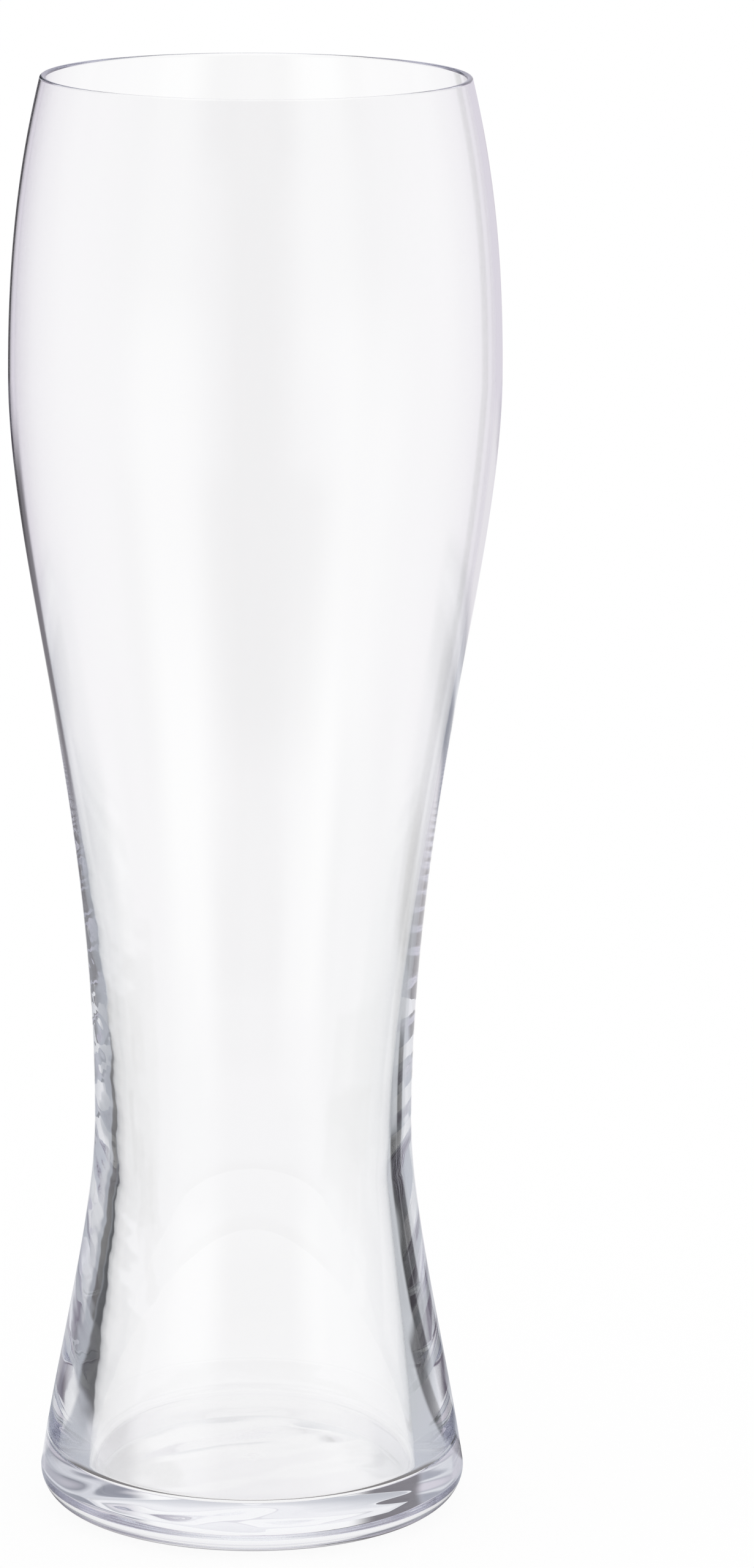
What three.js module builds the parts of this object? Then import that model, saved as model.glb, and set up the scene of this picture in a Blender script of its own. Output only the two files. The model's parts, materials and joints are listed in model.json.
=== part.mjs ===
// A tall waisted beer glass: a thick round base, a flared foot, a narrow waist, a full bowl and a thin rim.
// The real glass is one piece. Here each zone of it is a solid of its own, cut from the next by a level
// plane, and the zones stand face to face. Millimetres, +Z up, origin at the middle of the standing plane.
import * as THREE from "three";

// Outside: heights above the standing plane, rises between stations, and radii
const FOOT_EDGE_HEIGHT = 5.8;
const WAIST_HEIGHT = 66;
const BELLY_RISE = 123.5;
const RIM_RISE = 48.5;
const FOOT_RADIUS = 35.3;
const WAIST_RADIUS = 26.25;
const BELLY_RADIUS = 40;
const RIM_RADIUS = 34.7;

// Lean of the wall from upright at the foot, in the cavity's foot and at the rim, in degrees
const FOOT_LEAN = 8.3;
const CAVITY_LEAN = 4.6;
const RIM_LEAN = 13.7;

// Wall measured level, and the floor of the cavity
const FOOT_WALL = 7.7;
const WAIST_WALL = 3.45;
const BELLY_WALL = 1;
const RIM_WALL = 1;
const FLOOR_THICKNESS = 7.4;
const FLOOR_CORNER_RISE = 1.5;
const FLOOR_CORNER_REACH = 1.5;
const CAVITY_WAIST_DROP = 8.5;

// Underside: a rounded heel, a flat standing ring and a shallow hollow
const HEEL_REACH = 6.3;
const STAND_WIDTH = 2.2;
const HOLLOW_DEPTH = 0.5;

// Zones of the wall
const WAIST_BAND = 30;
const BELLY_BAND_BELOW = 30;
const BELLY_BAND_ABOVE = 10;
const RIM_BAND = 8;

// Fullness of each curve's two ends, as shares of the height that the curve climbs
const FOOT_FULLNESS = [0.34, 0.29];
const BOWL_FULLNESS = [0.425, 0.243];
const SHOULDER_FULLNESS = [0.4, 0.303];
const CAVITY_FOOT_FULLNESS = [0.44, 0.23];
const CAVITY_BOWL_FULLNESS = [0.305, 0.212];

// Fineness of the solids
const SIDES = 48;
const ROW_HEIGHT = 9;
const ARC_STEPS = 6;

// Heights that follow from those sizes
const BELLY_HEIGHT = WAIST_HEIGHT + BELLY_RISE;
const RIM_HEIGHT = BELLY_HEIGHT + RIM_RISE;
const LIP_HEIGHT = RIM_HEIGHT - RIM_WALL / 2;
const CORNER_TOP = FLOOR_THICKNESS + FLOOR_CORNER_RISE;

const station = (radius, height) => new THREE.Vector2(radius, height);

// One curve from a low station to a high one. A lean tilts the wall inwards as it climbs.
function rise(low, high, [lowShare, highShare], lowLean = 0, highLean = 0) {
  const climb = high.y - low.y;
  const lift = (share, lean) =>
    station(0, share * climb).rotateAround(station(0, 0), THREE.MathUtils.degToRad(lean));
  const lowPull = low.clone().add(lift(lowShare, lowLean));
  const highPull = high.clone().sub(lift(highShare, highLean));
  return new THREE.CubicBezierCurve(low, lowPull, highPull, high);
}

// Outside of the glass, from the foot's widest edge to the rim
function outsideCurves() {
  const foot = station(FOOT_RADIUS, FOOT_EDGE_HEIGHT);
  const waist = station(WAIST_RADIUS, WAIST_HEIGHT);
  const belly = station(BELLY_RADIUS, BELLY_HEIGHT);
  const rim = station(RIM_RADIUS, RIM_HEIGHT);
  return [
    rise(foot, waist, FOOT_FULLNESS, FOOT_LEAN),
    rise(waist, belly, BOWL_FULLNESS),
    rise(belly, rim, SHOULDER_FULLNESS, 0, RIM_LEAN),
  ];
}

// Inside of the glass, from the top of the floor's rounded corner to the rim
function cavityCurves() {
  const foot = station(FOOT_RADIUS - FOOT_WALL, CORNER_TOP);
  const waist = station(WAIST_RADIUS - WAIST_WALL, WAIST_HEIGHT - CAVITY_WAIST_DROP);
  const belly = station(BELLY_RADIUS - BELLY_WALL, BELLY_HEIGHT);
  const rim = station(RIM_RADIUS - RIM_WALL, RIM_HEIGHT);
  return [
    rise(foot, waist, CAVITY_FOOT_FULLNESS, CAVITY_LEAN),
    rise(waist, belly, CAVITY_BOWL_FULLNESS),
    rise(belly, rim, SHOULDER_FULLNESS, 0, RIM_LEAN),
  ];
}

const OUTSIDE = outsideCurves();
const CAVITY = cavityCurves();

// The point of a chain of curves at one height, found by halving until no number lies between
function pointAt(chain, height) {
  const curve = chain.find((stretch) => height <= stretch.v3.y) ?? chain.at(-1);
  let low = 0;
  let high = 1;
  let middle = (low + high) / 2;
  while (low < middle && middle < high) {
    if (curve.getPoint(middle).y < height) low = middle;
    else high = middle;
    middle = (low + high) / 2;
  }
  return station(curve.getPoint(high).x, height);
}

// Evenly spaced points of a chain of curves between two heights, both included
function pointsBetween(chain, bottom, top) {
  const rows = Math.ceil((top - bottom) / ROW_HEIGHT);
  return Array.from({ length: rows + 1 }, (_, row) =>
    pointAt(chain, THREE.MathUtils.lerp(bottom, top, row / rows)),
  );
}

// Points of an arc with its own reach and rise, between two angles in degrees
function arcPoints(centre, reach, climb, from, to) {
  return Array.from({ length: ARC_STEPS + 1 }, (_, step) => {
    const turn = THREE.MathUtils.degToRad(THREE.MathUtils.lerp(from, to, step / ARC_STEPS));
    return station(centre.x + reach * Math.cos(turn), centre.y + climb * Math.sin(turn));
  });
}

const CLEAR_GLASS = new THREE.MeshStandardMaterial({
  color: 0xf1f3f6,
  roughness: 0.03,
  metalness: 0,
  transparent: true,
  opacity: 0.3,
});

// A solid of revolution about +Z. The outline runs outwards below, up outside and back inside.
function turned(name, outline) {
  const geometry = new THREE.LatheGeometry(outline, SIDES);
  geometry.rotateX(Math.PI / 2);
  const mesh = new THREE.Mesh(geometry, CLEAR_GLASS);
  mesh.name = name;
  return mesh;
}

// The underside's hollow from its middle out to the standing ring, level at both ends
function hollowPoints(reach) {
  return Array.from({ length: ARC_STEPS + 1 }, (_, step) => {
    const share = step / ARC_STEPS;
    return station(reach * share, (HOLLOW_DEPTH * (1 + Math.cos(Math.PI * share))) / 2);
  });
}

// The solid slab under the cavity, with its shallow hollow, standing ring and rounded heel
function makeBase() {
  const standOutside = FOOT_RADIUS - HEEL_REACH;
  const standInside = standOutside - STAND_WIDTH;
  const hollow = hollowPoints(standInside);
  const heel = arcPoints(station(standOutside, FOOT_EDGE_HEIGHT), HEEL_REACH, FOOT_EDGE_HEIGHT, -90, 0);
  const side = pointAt(OUTSIDE, FLOOR_THICKNESS);
  return turned("base", [...hollow, ...heel, side, station(0, FLOOR_THICKNESS)]);
}

// A ring of wall between two level planes
function makeWall(name, bottom, top) {
  const outside = pointsBetween(OUTSIDE, bottom, top);
  const inside = pointsBetween(CAVITY, bottom, top).reverse();
  return turned(name, [...outside, ...inside, outside[0]]);
}

// The lowest ring of wall, whose inside starts in the floor's rounded corner
function makeFootFlare(top) {
  const outside = pointsBetween(OUTSIDE, FLOOR_THICKNESS, top);
  const inside = pointsBetween(CAVITY, CORNER_TOP, top).reverse();
  const cavityFoot = inside.at(-1);
  const cornerCentre = station(cavityFoot.x - FLOOR_CORNER_REACH, CORNER_TOP);
  const corner = arcPoints(cornerCentre, FLOOR_CORNER_REACH, FLOOR_CORNER_RISE, 0, -90).slice(1);
  return turned("foot_flare", [...outside, ...inside, ...corner, outside[0]]);
}

// The uppermost ring, closed by a rounded lip
function makeRim(bottom) {
  const outside = pointsBetween(OUTSIDE, bottom, LIP_HEIGHT);
  const inside = pointsBetween(CAVITY, bottom, LIP_HEIGHT).reverse();
  const halfWall = (outside.at(-1).x - inside[0].x) / 2;
  const lipCentre = station(inside[0].x + halfWall, LIP_HEIGHT);
  const lip = arcPoints(lipCentre, halfWall, RIM_HEIGHT - LIP_HEIGHT, 0, 180).slice(1, -1);
  return turned("rim", [...outside, ...lip, ...inside, outside[0]]);
}

function makeGlass() {
  const waistBottom = WAIST_HEIGHT - WAIST_BAND / 2;
  const waistTop = WAIST_HEIGHT + WAIST_BAND / 2;
  const bellyBottom = BELLY_HEIGHT - BELLY_BAND_BELOW;
  const bellyTop = BELLY_HEIGHT + BELLY_BAND_ABOVE;
  const rimBottom = RIM_HEIGHT - RIM_BAND;
  const glass = new THREE.Group();
  glass.add(
    makeBase(),
    makeFootFlare(waistBottom),
    makeWall("waist", waistBottom, waistTop),
    makeWall("bowl_taper", waistTop, bellyBottom),
    makeWall("bowl_belly", bellyBottom, bellyTop),
    makeWall("bowl_shoulder", bellyTop, rimBottom),
    makeRim(rimBottom),
  );
  return glass;
}

export default makeGlass();
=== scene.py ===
"""A tall waisted beer glass of clear glass on a plain white studio floor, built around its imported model."""
import json
import math
from typing import NamedTuple

import bpy
from bpy.props import FloatProperty, FloatVectorProperty, IntProperty, PointerProperty
from bpy.types import Operator, Panel, PropertyGroup
from mathutils import Matrix, Vector


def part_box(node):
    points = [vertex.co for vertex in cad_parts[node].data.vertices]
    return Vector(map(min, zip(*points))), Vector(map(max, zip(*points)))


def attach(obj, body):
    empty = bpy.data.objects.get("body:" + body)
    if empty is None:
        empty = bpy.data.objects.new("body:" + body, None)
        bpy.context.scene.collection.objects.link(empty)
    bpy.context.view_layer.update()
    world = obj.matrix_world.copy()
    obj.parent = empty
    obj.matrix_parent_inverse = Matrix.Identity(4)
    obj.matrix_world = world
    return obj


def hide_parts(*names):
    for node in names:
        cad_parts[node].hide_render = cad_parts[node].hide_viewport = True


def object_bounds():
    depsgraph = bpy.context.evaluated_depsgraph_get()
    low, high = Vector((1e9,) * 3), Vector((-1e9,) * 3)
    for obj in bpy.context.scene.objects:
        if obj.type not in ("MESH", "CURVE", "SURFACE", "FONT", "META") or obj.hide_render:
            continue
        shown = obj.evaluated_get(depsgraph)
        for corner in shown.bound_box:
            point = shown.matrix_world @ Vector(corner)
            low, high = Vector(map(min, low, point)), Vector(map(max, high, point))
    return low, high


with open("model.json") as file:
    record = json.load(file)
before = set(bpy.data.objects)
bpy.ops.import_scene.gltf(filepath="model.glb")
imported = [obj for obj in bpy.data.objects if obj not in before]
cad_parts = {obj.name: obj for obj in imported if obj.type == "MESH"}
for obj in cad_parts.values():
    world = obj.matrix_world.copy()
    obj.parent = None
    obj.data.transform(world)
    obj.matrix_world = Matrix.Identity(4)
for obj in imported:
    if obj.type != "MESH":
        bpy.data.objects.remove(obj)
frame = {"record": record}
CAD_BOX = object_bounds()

bl_info = {
    "name": "Beer Glass",
    "version": (1, 0, 0),
    "blender": (4, 5, 0),
    "location": "3D View > Sidebar > Beer Glass",
    "description": "Builds a tall waisted beer glass and a white studio for it",
    "category": "Add Mesh",
}

BODY = "root"
ZONES = [row["node"] for row in frame["record"]["subparts"]]
CAVITY_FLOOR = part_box("base")[1].z
WHITE = (1.0, 1.0, 1.0, 1.0)

# Fullness of each curve's two ends, as shares of the height that the curve climbs
FOOT_FULLNESS = (0.34, 0.29)
BOWL_FULLNESS = (0.425, 0.243)
SHOULDER_FULLNESS = (0.4, 0.303)
CAVITY_FOOT_FULLNESS = (0.44, 0.23)
CAVITY_BOWL_FULLNESS = (0.305, 0.212)

# Steps along the stretches of the glass's outline
CURVE_STEPS = 80
CAVITY_FOOT_STEPS = 140
CAVITY_BOWL_STEPS = 240
UNDER_STEPS = 60
HEEL_STEPS = 30
LIP_STEPS = 14
CORNER_STEPS = 24
CAVITY_FLOOR_STEPS = 40

# Where the cavity's wall is uneven: between two heights in metres, and on both sides of one direction,
# in degrees from +X towards +Y
RIPPLE_LOW = 0.030
RIPPLE_HIGH = 0.095
RIPPLE_FADE = 0.03
RIPPLE_SIDE = 180.0
RIPPLE_HALF_WIDTH = 35.0
RIPPLE_SIDE_FADE = 40.0

# How far from the axis the cavity's floor and the underside are uneven, in metres
SWELL_REACH = 0.016
SWELL_FADE = 0.010


class Wave(NamedTuple):
    """One wave of the glass's unevenness: its share of the whole height, how fast it runs in each of
    two directions, and where it starts."""
    share: float
    first: float
    second: float
    start: float


# Up the cavity's wall in metres, then around it in radians
RIPPLES = (
    Wave(0.60, 620.0, 9.0, 0.3),
    Wave(0.25, 1150.0, -14.0, 1.7),
    Wave(0.10, 2100.0, 25.0, 2.6),
    Wave(0.05, 2700.0, -34.0, 0.9),
)

# Along two level directions in metres
SWELLS = (
    Wave(0.5, 310.0, 120.0, 0.4),
    Wave(0.3, -190.0, 420.0, 1.9),
    Wave(0.2, 610.0, 330.0, 3.1),
)

# The studio: light bounces, the camera's sensor in millimetres, the photograph in pixels, and the floor
# in metres, with the share of it that is plain white
BOUNCES = 250
SENSOR_WIDTH = 36.0
PHOTO_SIZE = (1231, 2560)
FLOOR_HALF_WIDTH = 8.0
FLOOR_DROP = 0.00005
FLOOR_WHITE = 0.93

# The surround, a round sheet that starts under the rounded heel and glows with painted reflections: its sizes
# and rows in metres, and its steps around
SURROUND_RADIUS = 0.25
SURROUND_INSIDE = 0.030
SURROUND_HEIGHT = 0.7
SURROUND_LIFT = 0.00005
SURROUND_ROW = 0.003
SURROUND_STEPS = 360


class Patch(NamedTuple):
    """A soft-edged patch of painted reflection on the surround. Azimuths are degrees from +Y, the far side,
    towards +X. Places are metres up the wall, or below nought along the floor in from the wall."""
    azimuth: float
    half_width: float
    side_edge: float
    low: float
    high: float
    end_edge: float
    shade: tuple


# Painted reflections: the shades that the surround glows with, which only reflected light sees, standing in
# for the light and shade around the glass. Later patches lie over earlier ones.
PAINTED_REFLECTIONS = (
    # Painted reflection of a dim wall, lighter low down and in its far half
    Patch(0, 180, 1, 0.06, 0.30, 0.30, (0.36, 0.34, 0.40)),
    Patch(0, 180, 1, 0.06, 0.16, 0.06, (0.54, 0.52, 0.58)),
    Patch(0, 90, 40, 0.06, 0.25, 0.30, (0.70, 0.67, 0.74)),
    # Painted reflection of the floor, with painted shade in its near half
    Patch(0, 180, 1, -1, 0.01, 0.03, (0.80, 0.79, 0.83)),
    Patch(180, 80, 15, -0.18, 0.02, 0.04, (0.55, 0.53, 0.59)),
    # Painted reflection of the near wall: painted shade in the middle, with a painted light at either side
    Patch(180, 45, 30, 0.02, 0.09, 0.03, (0.15, 0.13, 0.17)),
    Patch(-140, 6, 22, 0.0, 0.13, 0.10, (0.92, 0.92, 0.94)),
    Patch(130, 6, 22, 0.0, 0.13, 0.10, (0.88, 0.88, 0.90)),
    Patch(180, 3, 24, 0.08, 0.35, 0.08, (0.22, 0.19, 0.24)),
    # Painted reflection low on the far wall: grey at both sides and, nearer the middle, painted shade on the
    # left and painted light on the right
    Patch(-50, 20, 8, 0.03, 0.07, 0.03, (0.56, 0.56, 0.62)),
    Patch(50, 20, 8, 0.03, 0.07, 0.03, (0.56, 0.56, 0.62)),
    Patch(-25, 8, 5, 0.03, 0.12, 0.02, (0.20, 0.19, 0.21)),
    Patch(25, 8, 6, 0.02, 0.13, 0.02, (0.78, 0.76, 0.80)),
    # Painted dark bands, each with a thin painted highlight line, which curl into swirls in the thick base
    Patch(45, 25, 8, 0.062, 0.085, 0.012, (0.30, 0.31, 0.36)),
    Patch(45, 25, 8, 0.079, 0.082, 0.005, (0.74, 0.75, 0.80)),
    Patch(-48, 10, 5, 0.062, 0.085, 0.012, (0.38, 0.39, 0.45)),
    Patch(-48, 10, 5, 0.082, 0.085, 0.005, (0.78, 0.79, 0.83)),
    # Painted reflection of grey floor at both sides, and a painted white gap straight behind the glass
    Patch(-47, 27, 8, -0.21, 0.02, 0.03, (0.38, 0.40, 0.44)),
    Patch(-30, 8, 5, -0.15, -0.10, 0.02, (0.66, 0.67, 0.70)),
    Patch(75, 51, 10, -0.21, 0.0, 0.03, (0.54, 0.56, 0.59)),
    Patch(0, 15, 6, -0.03, 0.09, 0.03, (1.0, 1.0, 1.0)),
    # Painted contact shadow on the floor close to the foot, darkest in front, with two painted light places
    Patch(0, 180, 1, -1, -0.20, 0.03, (0.56, 0.58, 0.63)),
    Patch(180, 85, 15, -1, -0.212, 0.008, (0.20, 0.19, 0.19)),
    Patch(-52, 6, 4, -0.215, -0.19, 0.01, (0.92, 0.93, 0.95)),
    Patch(0, 12, 6, -0.195, -0.15, 0.01, (0.92, 0.92, 0.94)),
    Patch(0, 12, 6, -1, -0.207, 0.008, (0.46, 0.47, 0.51)),
    # Painted dark streaks low down, seen only in reflection, which the thick lower wall shows as dark lines
    Patch(-51, 3, 2.5, -0.12, -0.05, 0.02, (0.11, 0.105, 0.10)),
    Patch(-61, 3, 2.5, -0.16, -0.12, 0.015, (0.13, 0.125, 0.12)),
    Patch(-80, 22, 5, -0.17, -0.05, 0.02, (0.05, 0.05, 0.05)),
    Patch(57, 8, 4, -0.01, 0.02, 0.02, (0.10, 0.10, 0.10)),
    Patch(36, 4, 3, -0.13, -0.06, 0.02, (0.02, 0.02, 0.02)),
    Patch(47, 4, 3, -0.17, -0.09, 0.02, (0.02, 0.02, 0.02)),
    Patch(57, 4, 3, -0.21, -0.15, 0.02, (0.06, 0.06, 0.06)),
    # A painted dark upright strip, seen only in reflection, which draws the bowl's left edge
    Patch(-19, 4.5, 3, 0.13, 0.40, 0.03, (0.02, 0.02, 0.02)),
)


def length(label, about, size):
    """A size in metres for the panel."""
    return FloatProperty(name=label, description=about, default=size, unit="LENGTH", precision=5)


def angle(label, about, degrees):
    """An angle for the panel, given in degrees and kept in radians."""
    return FloatProperty(name=label, description=about, default=math.radians(degrees), subtype="ANGLE")


def colour(label, about, value):
    """A colour for the panel."""
    return FloatVectorProperty(
        name=label, description=about, default=value, size=4, min=0.0, max=1.0, subtype="COLOR")


class GlassSizes(PropertyGroup):
    """Sizes of the glass, which follow the solids."""
    foot_edge_height: length("Foot edge height", "Height of the foot's widest edge", 0.0058)
    waist_height: length("Waist height", "Height of the narrowest outside", 0.066)
    belly_height: length("Belly height", "Height of the widest outside", 0.1895)
    rim_height: length("Rim height", "Height of the whole glass", CAD_BOX[1].z)
    foot_radius: length("Foot radius", "Widest radius of the base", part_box("base")[1].x)
    waist_radius: length("Waist radius", "Narrowest outside radius", 0.02625)
    belly_radius: length("Belly radius", "Widest outside radius", 0.04)
    rim_radius: length("Rim radius", "Outside radius at the rim", 0.0347)
    foot_wall: length("Foot wall", "Level thickness of the wall above the floor", 0.0077)
    waist_wall: length("Waist wall", "Waist radius less the cavity's narrowest radius", 0.00345)
    belly_wall: length("Belly wall", "Level thickness of the wall at the belly", 0.001)
    rim_wall: length("Rim wall", "Level thickness of the wall at the rim", 0.001)
    floor_thickness: length("Floor thickness", "Height of the cavity's floor", CAVITY_FLOOR)
    corner_rise: length("Corner rise", "Height of the floor's rounded corner", 0.0015)
    corner_reach: length("Corner reach", "Level reach of the floor's rounded corner", 0.0015)
    cavity_waist_drop: length("Cavity waist drop", "Cavity's waist below the outer waist", 0.0085)
    heel_reach: length("Heel reach", "Level reach of the rounded heel", 0.0063)
    stand_width: length("Stand width", "Width of the flat standing ring", 0.0022)
    hollow_depth: length("Hollow depth", "Depth of the hollow underneath", 0.0005)
    foot_lean: angle("Foot lean", "Lean of the outside at the foot", 8.3)
    cavity_lean: angle("Cavity lean", "Lean of the cavity's wall above the floor", 4.6)
    rim_lean: angle("Rim lean", "Lean of the wall at the rim", 13.7)
    ripple: length("Ripple", "Greatest unevenness of the cavity's lower wall", 0.000016)
    floor_swell: length("Floor swell", "Greatest unevenness of the cavity's floor", 0.000015)
    under_swell: length("Under swell", "Greatest unevenness of the underside", 0.0001)
    mark_radius: length("Mark radius", "Radius of the small round mark under the base", 0.0010)
    mark_width: length("Mark width", "Half the width of that mark's ridge", 0.0005)
    mark_height: length("Mark height", "Height of that mark's ridge", 0.00004)
    sides: IntProperty(name="Sides", description="Steps around the glass", default=288, min=32)


class GlassFinish(PropertyGroup):
    """The look of the glass itself."""
    surface_colour: colour("Surface colour", "Colour of the polished surface", WHITE)
    body_colour: colour("Body colour", "Colour that light takes on in thick glass", (0.80, 0.82, 0.90, 1.0))
    body_density: FloatProperty(
        name="Body density", description="How soon light takes on the body colour", default=3.0, min=0.0)
    refraction: FloatProperty(
        name="Refraction", description="Index of refraction of the glass", default=1.52, min=1.0)


class StudioSettings(PropertyGroup):
    """The camera and the studio."""
    camera_distance: length("Camera distance", "Level distance from the glass", 1.0954)
    camera_height: length("Camera height", "Height above the floor", 0.3578)
    camera_pitch: angle("Camera pitch", "How far the camera looks down", 12.156)
    camera_yaw: angle("Camera yaw", "How far the camera looks past the glass", 1.053)
    camera_roll: angle("Camera roll", "Tilt of the picture", 0.394)
    focal_pixels: FloatProperty(
        name="Focal length", description="Focal length in pixels of the photograph", default=11156.0)
    white: colour("White", "Floor and surroundings", WHITE)


def within(value, low, high, edge):
    """1 between two values, falling smoothly to 0 over an edge outside them."""
    outside = max(low - value, value - high, 0.0)
    t = max(0.0, 1.0 - outside / edge)
    return t * t * (3.0 - 2.0 * t)


def degrees_aside(direction, middle):
    """Degrees from one direction to another, the short way round."""
    return (direction - middle + 180.0) % 360.0 - 180.0


def rise(low, high, fullness, low_lean=0.0, high_lean=0.0, steps=CURVE_STEPS):
    """Points (radius, height) of one curve of the wall, which leans inwards as it climbs."""
    climb = high[1] - low[1]
    low_lift = fullness[0] * climb
    high_lift = fullness[1] * climb
    low_pull = (low[0] - low_lift * math.sin(low_lean), low[1] + low_lift * math.cos(low_lean))
    high_pull = (high[0] + high_lift * math.sin(high_lean), high[1] - high_lift * math.cos(high_lean))
    pulls = (low, low_pull, high_pull, high)
    points = []
    for step in range(steps + 1):
        t = step / steps
        weights = ((1 - t) ** 3, 3 * t * (1 - t) ** 2, 3 * t * t * (1 - t), t ** 3)
        points.append(tuple(
            sum(weight * pull[axis] for weight, pull in zip(weights, pulls)) for axis in (0, 1)))
    return points


def arc(centre, reach, climb, start, end, steps):
    """Points (radius, height) of an arc between two angles in degrees."""
    turns = (math.radians(start + (end - start) * step / steps) for step in range(steps + 1))
    return [(centre[0] + reach * math.cos(turn), centre[1] + climb * math.sin(turn)) for turn in turns]


def outside_line(sizes):
    """The outside, from the foot's widest edge to the rim."""
    foot = (sizes.foot_radius, sizes.foot_edge_height)
    waist = (sizes.waist_radius, sizes.waist_height)
    belly = (sizes.belly_radius, sizes.belly_height)
    rim = (sizes.rim_radius, sizes.rim_height)
    return (rise(foot, waist, FOOT_FULLNESS, sizes.foot_lean)
            + rise(waist, belly, BOWL_FULLNESS)[1:]
            + rise(belly, rim, SHOULDER_FULLNESS, 0.0, sizes.rim_lean)[1:])


def cavity_line(sizes):
    """The inside, from the top of the floor's rounded corner to the rim."""
    foot = (sizes.foot_radius - sizes.foot_wall, sizes.floor_thickness + sizes.corner_rise)
    waist = (sizes.waist_radius - sizes.waist_wall, sizes.waist_height - sizes.cavity_waist_drop)
    belly = (sizes.belly_radius - sizes.belly_wall, sizes.belly_height)
    rim = (sizes.rim_radius - sizes.rim_wall, sizes.rim_height)
    return (rise(foot, waist, CAVITY_FOOT_FULLNESS, sizes.cavity_lean, steps=CAVITY_FOOT_STEPS)
            + rise(waist, belly, CAVITY_BOWL_FULLNESS, steps=CAVITY_BOWL_STEPS)[1:]
            + rise(belly, rim, SHOULDER_FULLNESS, 0.0, sizes.rim_lean)[1:])


def below(line, height):
    """The part of a rising line below one height, ending exactly there."""
    kept = [point for point in line if point[1] < height]
    low = kept[-1]
    high = line[len(kept)]
    t = (height - low[1]) / (high[1] - low[1])
    return kept + [(low[0] + t * (high[0] - low[0]), height)]


def hollow(sizes, radius, reach):
    """Height of the underside, a shallow hollow that runs out level into the standing ring."""
    return sizes.hollow_depth * (1.0 + math.cos(math.pi * radius / reach)) / 2


def glass_outline(sizes):
    """The outline of the glass from the middle of its underside to the middle of the cavity's floor,
    as (zone, radius, height)."""
    stand_outside = sizes.foot_radius - sizes.heel_reach
    stand_inside = stand_outside - sizes.stand_width
    under_radii = [stand_inside * step / UNDER_STEPS for step in range(UNDER_STEPS + 1)]
    under = [(radius, hollow(sizes, radius, stand_inside)) for radius in under_radii]
    heel_middle = (stand_outside, sizes.foot_edge_height)
    heel = arc(heel_middle, sizes.heel_reach, sizes.foot_edge_height, -90, 0, HEEL_STEPS)

    lip_height = sizes.rim_height - sizes.rim_wall / 2
    outside = below(outside_line(sizes), lip_height)
    cavity = below(cavity_line(sizes), lip_height)
    lip_middle = ((outside[-1][0] + cavity[-1][0]) / 2, lip_height)
    lip_reach = (outside[-1][0] - cavity[-1][0]) / 2
    lip = arc(lip_middle, lip_reach, sizes.rim_height - lip_height, 0, 180, LIP_STEPS)

    corner_middle = (cavity[0][0] - sizes.corner_reach, sizes.floor_thickness + sizes.corner_rise)
    corner = arc(corner_middle, sizes.corner_reach, sizes.corner_rise, 0, -90, CORNER_STEPS)
    floor = [(corner_middle[0] * (1 - step / CAVITY_FLOOR_STEPS), sizes.floor_thickness)
             for step in range(1, CAVITY_FLOOR_STEPS + 1)]

    zones = (("under", under), ("heel", heel), ("outside", outside[1:]), ("lip", lip[1:-1]),
             ("cavity", cavity[::-1]), ("corner", corner[1:]), ("floor", floor))
    return [(zone, *point) for zone, points in zones for point in points]


def unevenness(place, waves):
    """Height of a sum of waves at a place given along their two directions."""
    return sum(wave.share * math.sin(wave.first * place[0] + wave.second * place[1] + wave.start)
               for wave in waves)


def moulded(sizes, zone, radius, turn, height):
    """A point of the turned outline, moved by the slight unevenness that the glass has from its making."""
    x = radius * math.cos(turn)
    y = radius * math.sin(turn)
    if zone == "cavity":
        near = within(height, RIPPLE_LOW, RIPPLE_HIGH, RIPPLE_FADE)
        aside = degrees_aside(math.degrees(turn), RIPPLE_SIDE)
        near *= within(aside, -RIPPLE_HALF_WIDTH, RIPPLE_HALF_WIDTH, RIPPLE_SIDE_FADE)
        grown = 1.0 + sizes.ripple * near * unevenness((height, turn), RIPPLES) / radius
        return x * grown, y * grown, height
    if zone == "floor":
        inside = within(radius, 0.0, SWELL_REACH, SWELL_FADE)
        return x, y, height + sizes.floor_swell * inside * unevenness((x, y), SWELLS)
    if zone == "under":
        inside = within(radius, 0.0, SWELL_REACH, SWELL_FADE)
        mark = within(radius, sizes.mark_radius, sizes.mark_radius, sizes.mark_width)
        swell = sizes.under_swell * inside * unevenness((y, -x), SWELLS)
        return x, y, height + swell + sizes.mark_height * mark
    return x, y, height


def turned_mesh(name, outline, sizes):
    """A closed mesh made by turning an outline, whose ends lie on the axis, about +Z."""
    inner = outline[1:-1]
    count = len(inner)
    vertices = [moulded(sizes, outline[0][0], 0.0, 0.0, outline[0][2])]
    for side in range(sizes.sides):
        turn = 2 * math.pi * side / sizes.sides
        vertices += [moulded(sizes, zone, radius, turn, height) for zone, radius, height in inner]
    vertices.append(moulded(sizes, outline[-1][0], 0.0, 0.0, outline[-1][2]))
    last = len(vertices) - 1
    faces = []
    for side in range(sizes.sides):
        here = 1 + side * count
        there = 1 + (side + 1) % sizes.sides * count
        faces.append((0, there, here))
        faces += [(here + k, there + k, there + k + 1, here + k + 1) for k in range(count - 1)]
        faces.append((here + count - 1, there + count - 1, last))
    mesh = bpy.data.meshes.new(name)
    mesh.from_pydata(vertices, [], faces)
    mesh.shade_smooth()
    mesh.validate()
    return mesh


def new_material(name):
    """A new material made of nodes, with those nodes and their links."""
    material = bpy.data.materials.new(name)
    material.use_nodes = True
    return material, material.node_tree.nodes, material.node_tree.links


def end_in_mix(nodes, links, share, first, second):
    """Ends a material in a mix of two shaders."""
    mix = nodes.new("ShaderNodeMixShader")
    links.new(share, mix.inputs["Fac"])
    links.new(first, mix.inputs[1])
    links.new(second, mix.inputs[2])
    links.new(mix.outputs["Shader"], nodes["Material Output"].inputs["Surface"])


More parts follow.
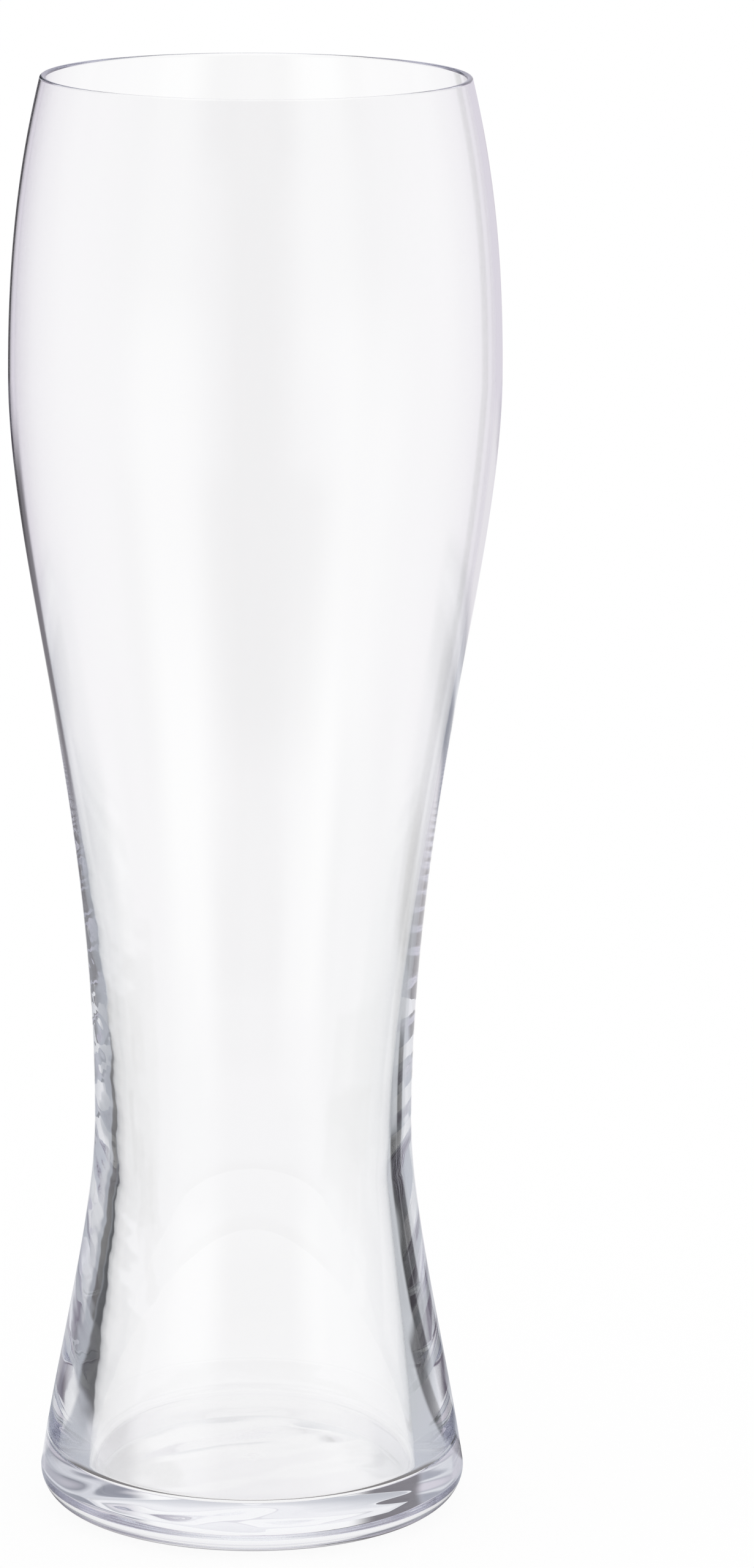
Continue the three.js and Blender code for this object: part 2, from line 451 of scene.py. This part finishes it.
def clear_glass(finish):
    """Clear polished glass with a faint cool body colour."""
    material, nodes, links = new_material("clear_glass")
    glass = nodes["Principled BSDF"]
    glass.inputs["Base Color"].default_value = finish.surface_colour
    glass.inputs["Transmission Weight"].default_value = 1.0
    glass.inputs["Roughness"].default_value = 0.0
    glass.inputs["IOR"].default_value = finish.refraction
    body = nodes.new("ShaderNodeVolumeAbsorption")
    body.inputs["Color"].default_value = finish.body_colour
    body.inputs["Density"].default_value = finish.body_density
    links.new(body.outputs["Volume"], nodes["Material Output"].inputs["Volume"])
    return material


class GLASS_OT_build(Operator):
    """Builds the glass as one closed mesh over the solids' zones"""
    bl_idname = "beer_glass.build"
    bl_label = "Build Glass"

    def execute(self, context):
        sizes = context.scene.glass_sizes
        mesh = turned_mesh("glass", glass_outline(sizes), sizes)
        mesh.materials.append(clear_glass(context.scene.glass_finish))
        glass = bpy.data.objects.new("glass", mesh)
        context.collection.objects.link(glass)
        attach(glass, BODY)
        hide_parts(*ZONES)
        return {"FINISHED"}


def white_share(nodes, links):
    """How much of the floor is plain white: most of it where it is seen, straight or by way of the
    glass, and nothing for scattered light."""
    path = nodes.new("ShaderNodeLightPath")
    seen = path.outputs["Is Camera Ray"]
    for kind in ("Is Glossy Ray", "Is Transmission Ray"):
        either = nodes.new("ShaderNodeMath")
        either.operation = "MAXIMUM"
        links.new(seen, either.inputs[0])
        links.new(path.outputs[kind], either.inputs[1])
        seen = either.outputs["Value"]
    most = nodes.new("ShaderNodeMath")
    most.operation = "MULTIPLY"
    most.inputs[1].default_value = FLOOR_WHITE
    links.new(seen, most.inputs[0])
    return most.outputs["Value"]


def white_floor(settings):
    """A matt white floor, which shows the background's white and keeps a faint shadow."""
    material, nodes, links = new_material("white_floor")
    matt = nodes["Principled BSDF"]
    matt.inputs["Base Color"].default_value = settings.white
    matt.inputs["Roughness"].default_value = 1.0
    matt.inputs["Specular IOR Level"].default_value = 0.0
    white = nodes.new("ShaderNodeEmission")
    white.inputs["Color"].default_value = settings.white
    end_in_mix(nodes, links, white_share(nodes, links), matt.outputs["BSDF"], white.outputs["Emission"])
    return material


def floor_mesh(settings):
    """A wide square floor, just under the standing plane."""
    corners = [(x * FLOOR_HALF_WIDTH, y * FLOOR_HALF_WIDTH, -FLOOR_DROP)
               for x, y in ((-1, -1), (1, -1), (1, 1), (-1, 1))]
    mesh = bpy.data.meshes.new("floor")
    mesh.from_pydata(corners, [], [(0, 1, 2, 3)])
    mesh.materials.append(white_floor(settings))
    return mesh


def surround_paint():
    """Paint of the surround: it glows with painted reflections, its shades, for reflected light only, and
    straight views pass through it.
    """
    material, nodes, links = new_material("surround")
    nodes.remove(nodes["Principled BSDF"])
    path = nodes.new("ShaderNodeLightPath")
    clear = nodes.new("ShaderNodeBsdfTransparent")
    shade = nodes.new("ShaderNodeVertexColor")
    shade.layer_name = "shade"
    glow = nodes.new("ShaderNodeEmission")
    links.new(shade.outputs["Color"], glow.inputs["Color"])
    reflected = path.outputs["Glossy Depth"]
    end_in_mix(nodes, links, reflected, clear.outputs["BSDF"], glow.outputs["Emission"])
    return material


def covers_around(patch, azimuth):
    """How far a patch covers one azimuth."""
    aside = degrees_aside(azimuth, patch.azimuth)
    return within(aside, -patch.half_width, patch.half_width, patch.side_edge)


def covers_along(patch, place):
    """How far a patch covers one place."""
    return within(place, patch.low, patch.high, patch.end_edge)


def painted(around, along):
    """Painted reflection colour of the surround at a point, from how far each patch covers its azimuth and
    its place.
    """
    shade = Vector((1.0, 1.0, 1.0))
    for patch, first, second in zip(PAINTED_REFLECTIONS, around, along):
        if first and second:
            shade = shade.lerp(Vector(patch.shade), first * second)
    return shade


def surround_mesh():
    """A round sheet that runs out along the floor from under the heel and then up all around the glass, and
    carries the painted reflections as its shade colours.
    """
    floor_rows = [-SURROUND_RADIUS + SURROUND_INSIDE + SURROUND_ROW * k
                  for k in range(int((SURROUND_RADIUS - SURROUND_INSIDE) / SURROUND_ROW))]
    wall_rows = [SURROUND_ROW * k for k in range(int(SURROUND_HEIGHT / SURROUND_ROW) + 1)]
    rows = floor_rows + wall_rows
    covers = [[covers_along(patch, place) for patch in PAINTED_REFLECTIONS] for place in rows]
    vertices = []
    shades = []
    for step in range(SURROUND_STEPS):
        azimuth = 360.0 * step / SURROUND_STEPS
        turn = math.radians(azimuth)
        around = [covers_around(patch, azimuth) for patch in PAINTED_REFLECTIONS]
        for place, along in zip(rows, covers):
            reach = SURROUND_RADIUS + min(place, 0.0)
            height = max(place, 0.0) + SURROUND_LIFT
            vertices.append((reach * math.sin(turn), reach * math.cos(turn), height))
            shades += [*painted(around, along), 1.0]
    count = len(rows)
    faces = []
    for step in range(SURROUND_STEPS):
        here = step * count
        there = (step + 1) % SURROUND_STEPS * count
        faces += [(here + k, there + k, there + k + 1, here + k + 1) for k in range(count - 1)]
    mesh = bpy.data.meshes.new("surround")
    mesh.from_pydata(vertices, [], faces)
    mesh.color_attributes.new("shade", "FLOAT_COLOR", "POINT").data.foreach_set("color", shades)
    mesh.materials.append(surround_paint())
    return mesh


def white_room(settings):
    """A plain white world."""
    world = bpy.data.worlds.new("white_room")
    world.use_nodes = True
    world.node_tree.nodes["Background"].inputs["Color"].default_value = settings.white
    return world


def photo_camera(settings):
    """The camera at the photograph's place, with no shift."""
    pitch = settings.camera_pitch
    yaw = settings.camera_yaw
    roll = settings.camera_roll
    forward = Vector((math.sin(yaw) * math.cos(pitch), math.cos(yaw) * math.cos(pitch), -math.sin(pitch)))
    level = Vector((math.cos(yaw), -math.sin(yaw), 0.0))
    upward = level.cross(forward)
    right = math.cos(roll) * level + math.sin(roll) * upward
    up = math.cos(roll) * upward - math.sin(roll) * level
    data = bpy.data.cameras.new("camera")
    data.sensor_width = SENSOR_WIDTH
    data.lens = settings.focal_pixels * data.sensor_width / max(PHOTO_SIZE)
    camera = bpy.data.objects.new("camera", data)
    turn = Matrix((right, up, -forward)).transposed().to_4x4()
    place = Vector((0.0, -settings.camera_distance, settings.camera_height))
    camera.matrix_world = Matrix.Translation(place) @ turn
    return camera


class GLASS_OT_stage(Operator):
    """Sets up the white room, its floor, the surround and the camera"""
    bl_idname = "beer_glass.stage"
    bl_label = "Set Up Studio"

    def execute(self, context):
        scene = context.scene
        settings = scene.glass_studio
        scene.view_settings.view_transform = "Standard"
        scene.cycles.max_bounces = BOUNCES
        scene.cycles.transmission_bounces = BOUNCES
        scene.cycles.glossy_bounces = BOUNCES
        scene.cycles.transparent_max_bounces = BOUNCES
        scene.world = white_room(settings)

        floor = bpy.data.objects.new("floor", floor_mesh(settings))
        context.collection.objects.link(floor)

        # The surround glows with painted reflections, hidden from the camera, from scattered light and from
        # shadows
        surround = bpy.data.objects.new("surround", surround_mesh())
        surround.visible_camera = False
        surround.visible_diffuse = False
        surround.visible_shadow = False
        context.collection.objects.link(surround)

        camera = photo_camera(settings)
        context.collection.objects.link(camera)
        scene.camera = camera
        return {"FINISHED"}


class GLASS_PT_panel(Panel):
    """Lists the settings and the steps that build the glass and its studio"""
    bl_idname = "GLASS_PT_panel"
    bl_label = "Beer Glass"
    bl_space_type = "VIEW_3D"
    bl_region_type = "UI"
    bl_category = "Beer Glass"

    def draw(self, context):
        layout = self.layout
        scene = context.scene
        for group in (scene.glass_sizes, scene.glass_finish, scene.glass_studio):
            box = layout.box()
            for key in group.__annotations__:
                box.prop(group, key)
        layout.operator(GLASS_OT_stage.bl_idname)
        layout.operator(GLASS_OT_build.bl_idname)


CLASSES = (GlassSizes, GlassFinish, StudioSettings, GLASS_OT_stage, GLASS_OT_build, GLASS_PT_panel)


def register():
    for cls in CLASSES:
        bpy.utils.register_class(cls)
    bpy.types.Scene.glass_sizes = PointerProperty(type=GlassSizes)
    bpy.types.Scene.glass_finish = PointerProperty(type=GlassFinish)
    bpy.types.Scene.glass_studio = PointerProperty(type=StudioSettings)


def unregister():
    del bpy.types.Scene.glass_studio
    del bpy.types.Scene.glass_finish
    del bpy.types.Scene.glass_sizes
    for cls in reversed(CLASSES):
        bpy.utils.unregister_class(cls)


def main():
    register()
    bpy.ops.beer_glass.stage()
    bpy.ops.beer_glass.build()


if __name__ == "__main__":
    main()
